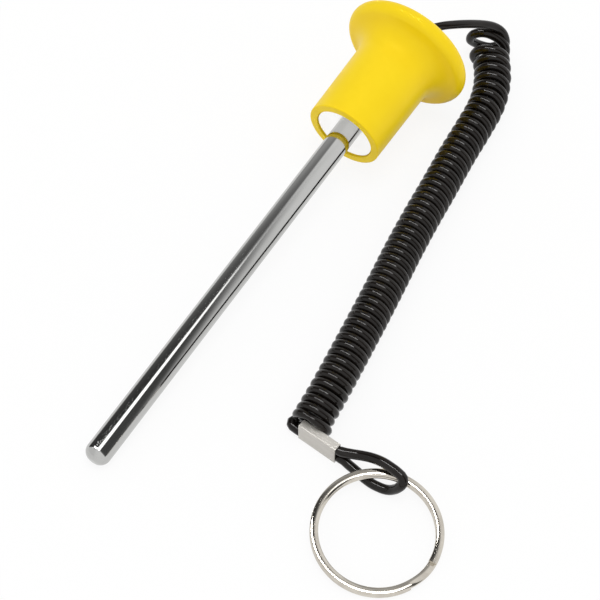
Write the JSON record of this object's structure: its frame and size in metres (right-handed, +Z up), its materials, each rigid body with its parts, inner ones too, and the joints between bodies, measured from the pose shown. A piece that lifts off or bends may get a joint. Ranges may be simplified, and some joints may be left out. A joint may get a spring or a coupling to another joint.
{
  "type": "weight stack pin",
  "caption": "Steel selector pin with a mushroom knob and holding magnet, on a coiled cord lanyard that ends in a crimped loop and a split ring.",
  "frame": {"origin": "on the table, under the middle of the lying pin's box (rod, knob, magnet and cord stop)", "axes": "+X runs along the lying pin from its free end to the knob's crown, +Z is up, and the pin's axis lies over the X axis"},
  "size_m": [0.2479, 0.1439, 0.0517],
  "materials": {
    "polished_steel": "polished chrome plate",
    "yellow_plastic": "satin moulded",
    "nickel_plate": "bright nickel plate",
    "crimp_metal": "tinned, pressed",
    "black_cord": "glossy, smooth",
    "ring_nickel": "warm nickel plate"
  },
  "bodies": {
    "pin": {"pin_rod": "polished_steel", "knob": "yellow_plastic", "ring_magnet": "nickel_plate", "cord_stop": "crimp_metal", "cord_lead": "black_cord", "cord_coil": "black_cord", "cord_loop": "black_cord", "crimp_sleeve": "crimp_metal"},
    "ring": {"split_ring": "ring_nickel"}
  },
  "joints": [
    {"name": "ring_swing", "type": "hinge", "parent": "pin", "child": "ring", "pos_m": [-0.05518, -0.08464, 0.00573], "axis": [-0.5197, 0.8538, 0.0296], "range_deg": [0, 120]}
  ]
}
